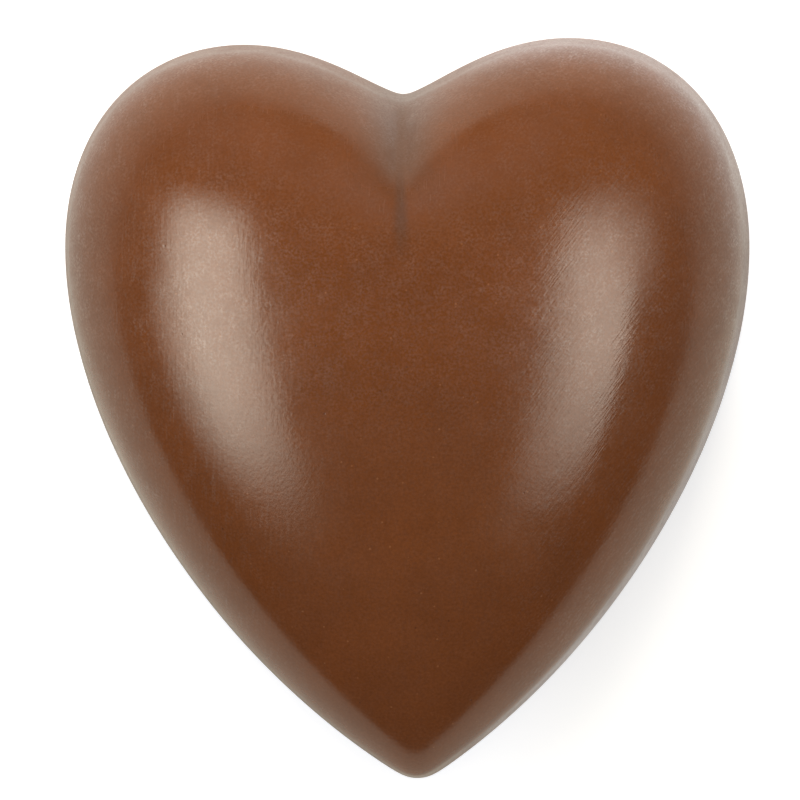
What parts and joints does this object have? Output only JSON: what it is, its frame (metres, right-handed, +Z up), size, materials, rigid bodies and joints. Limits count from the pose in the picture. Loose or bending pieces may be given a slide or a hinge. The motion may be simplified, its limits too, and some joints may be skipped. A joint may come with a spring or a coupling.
{
  "type": "filled chocolate heart",
  "caption": "Milk chocolate heart with a smooth domed top, a soft crease down from the notch between its lobes, a low drafted wall and a flat base to rest on.",
  "frame": {"origin": "middle of the flat base, on the surface that the heart rests on", "axes": "+X across the heart, +Y from its tip to its two lobes, +Z up out of the domed top"},
  "size_m": [0.034, 0.0366, 0.0128],
  "materials": {
    "milk_chocolate": "satin milk chocolate, polished by its mould, with faint scratches and specks"
  },
  "bodies": {
    "root": {"chocolate_heart": "milk_chocolate"}
  },
  "joints": []
}
